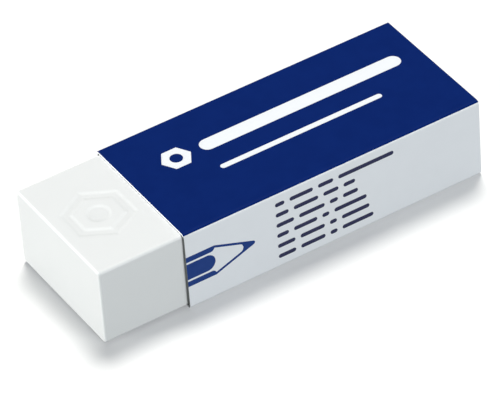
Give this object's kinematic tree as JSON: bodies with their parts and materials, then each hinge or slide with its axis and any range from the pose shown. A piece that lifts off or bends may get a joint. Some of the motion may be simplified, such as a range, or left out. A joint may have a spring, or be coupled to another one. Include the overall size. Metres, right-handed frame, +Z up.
{
  "type": "rubber eraser",
  "caption": "White block eraser with a pressed mark, pushed into a folded card sleeve with a blue printed top; the sleeve slides along the block.",
  "frame": {"origin": "on the surface that the sleeve lies on, under the middle of the whole part", "axes": "+X from the end in use to the covered end, +Y from the printed narrow wall to the glued one, +Z up out of the printed top"},
  "size_m": [0.065, 0.0243, 0.0137],
  "materials": {
    "vinyl": "smooth satin white vinyl, faintly dusty",
    "card": "coated white card, soft sheen, bare fibres at the cut edges",
    "field_ink": "solid navy blue print under a thin satin varnish",
    "line_ink": "blue line print on coated card"
  },
  "bodies": {
    "block": {"eraser_block": "vinyl"},
    "sleeve": {"card_sleeve": "card", "top_print": "field_ink", "side_print": "line_ink"}
  },
  "joints": [
    {"name": "sleeve_slide", "type": "slide", "parent": "block", "child": "sleeve", "axis": [1, 0, 0], "range_m": [-0.014, 0.052]}
  ]
}
